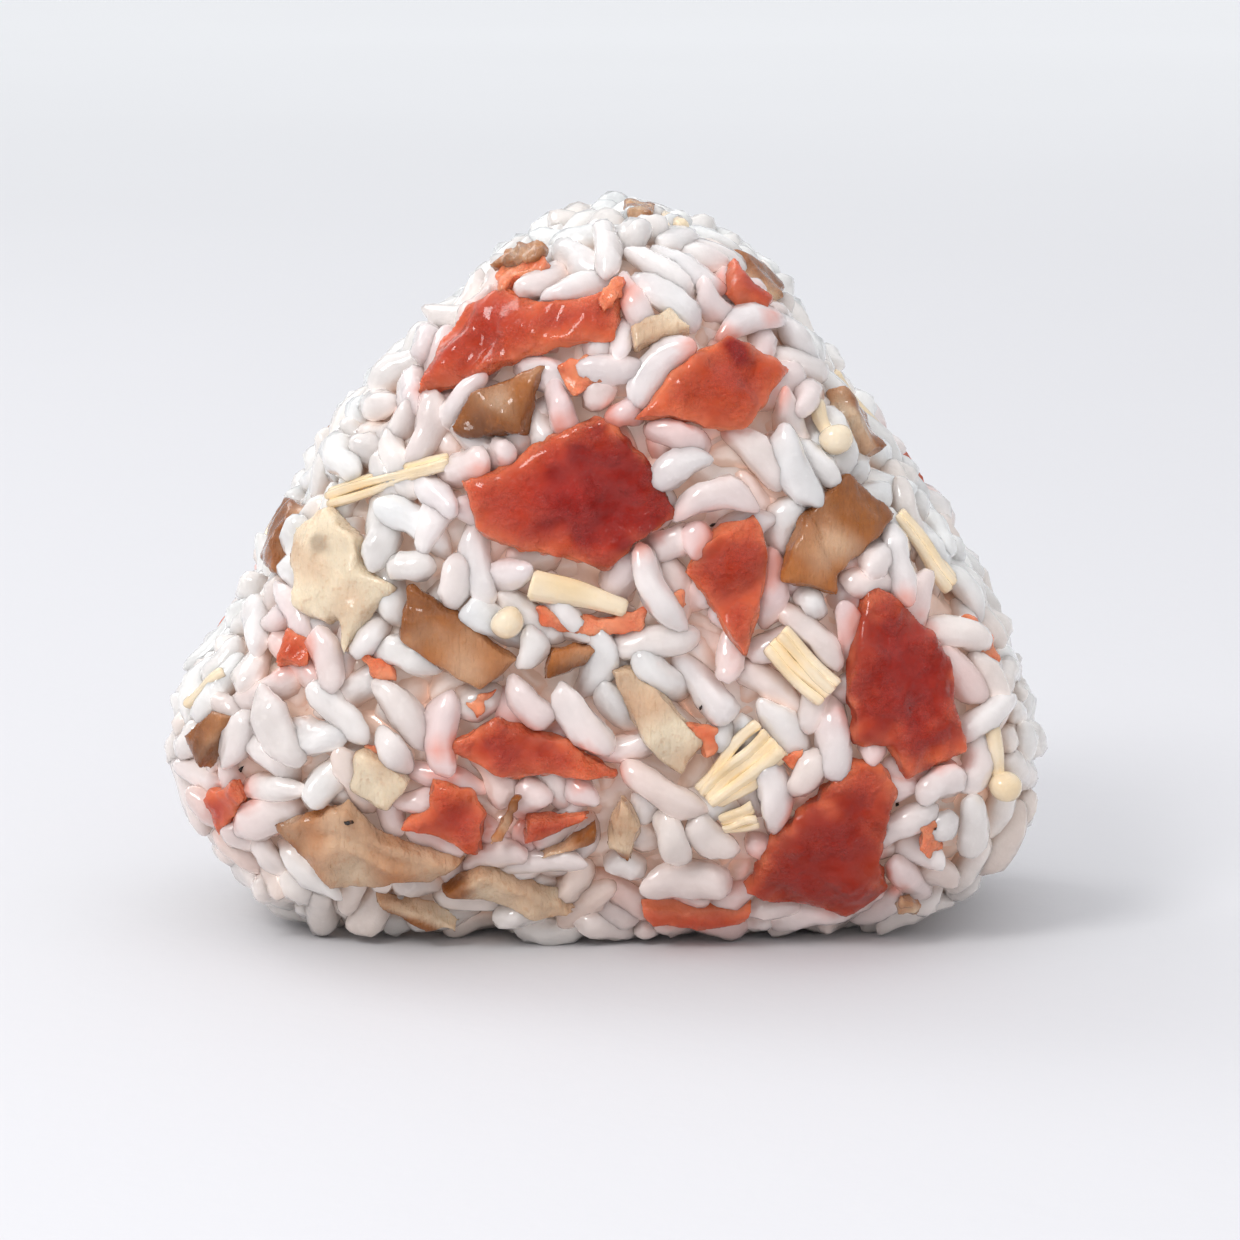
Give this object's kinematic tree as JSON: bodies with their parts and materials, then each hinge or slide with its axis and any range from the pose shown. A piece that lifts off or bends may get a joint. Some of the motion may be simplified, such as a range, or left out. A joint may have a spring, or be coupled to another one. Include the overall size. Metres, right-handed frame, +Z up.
{
  "type": "onigiri",
  "caption": "Hand-pressed triangular rice ball with pieces of pickled plum, sliced mushroom and enoki pressed into its surface, standing on a small flat base.",
  "frame": {"origin": "centre of the flat base", "axes": "+Z up from the base to the apex, +X to the right along the broad front as seen from the front, and the front looks along -Y"},
  "size_m": [0.0809, 0.0476, 0.0661],
  "materials": {
    "rice": "moist",
    "plum": "wet",
    "mushroom": "moist",
    "enoki": "moist"
  },
  "bodies": {
    "root": {"rice": "rice", "enoki_back_low": "enoki", "enoki_back_right": "enoki", "enoki_edge": "enoki", "enoki_fan": "enoki", "enoki_left": "enoki", "enoki_right": "enoki", "enoki_segment": "enoki", "enoki_short": "enoki", "enoki_side_left": "enoki", "enoki_side_right": "enoki", "enoki_slope": "enoki", "enoki_slope_low": "enoki", "mushroom_back_left": "mushroom", "mushroom_back_low": "mushroom", "mushroom_back_mid": "mushroom", "mushroom_back_right": "mushroom", "mushroom_back_top": "mushroom", "mushroom_cap_right": "mushroom", "mushroom_cap_upper": "mushroom", "mushroom_curl": "mushroom", "mushroom_foot": "mushroom", "mushroom_fork": "mushroom", "mushroom_left_cap": "mushroom", "mushroom_left_edge": "mushroom", "mushroom_low_left": "mushroom", "mushroom_low_rim": "mushroom", "mushroom_mid_left": "mushroom", "mushroom_mid_small": "mushroom", "mushroom_pale": "mushroom", "mushroom_pink": "mushroom", "mushroom_ridge": "mushroom", "mushroom_side_left": "mushroom", "mushroom_side_right": "mushroom", "mushroom_slope": "mushroom", "mushroom_stem": "mushroom", "mushroom_tip": "mushroom", "plum_back_left": "plum", "plum_back_low": "plum", "plum_back_right": "plum", "plum_back_top": "plum", "plum_centre": "plum", "plum_centre_right": "plum", "plum_foot": "plum", "plum_left_small": "plum", "plum_low_edge": "plum", "plum_low_left": "plum", "plum_low_small": "plum", "plum_low_upper": "plum", "plum_ridge": "plum", "plum_right_lower": "plum", "plum_right_upper": "plum", "plum_side_left": "plum", "plum_side_right": "plum", "plum_top_left": "plum", "plum_upper_right": "plum"}
  },
  "joints": []
}
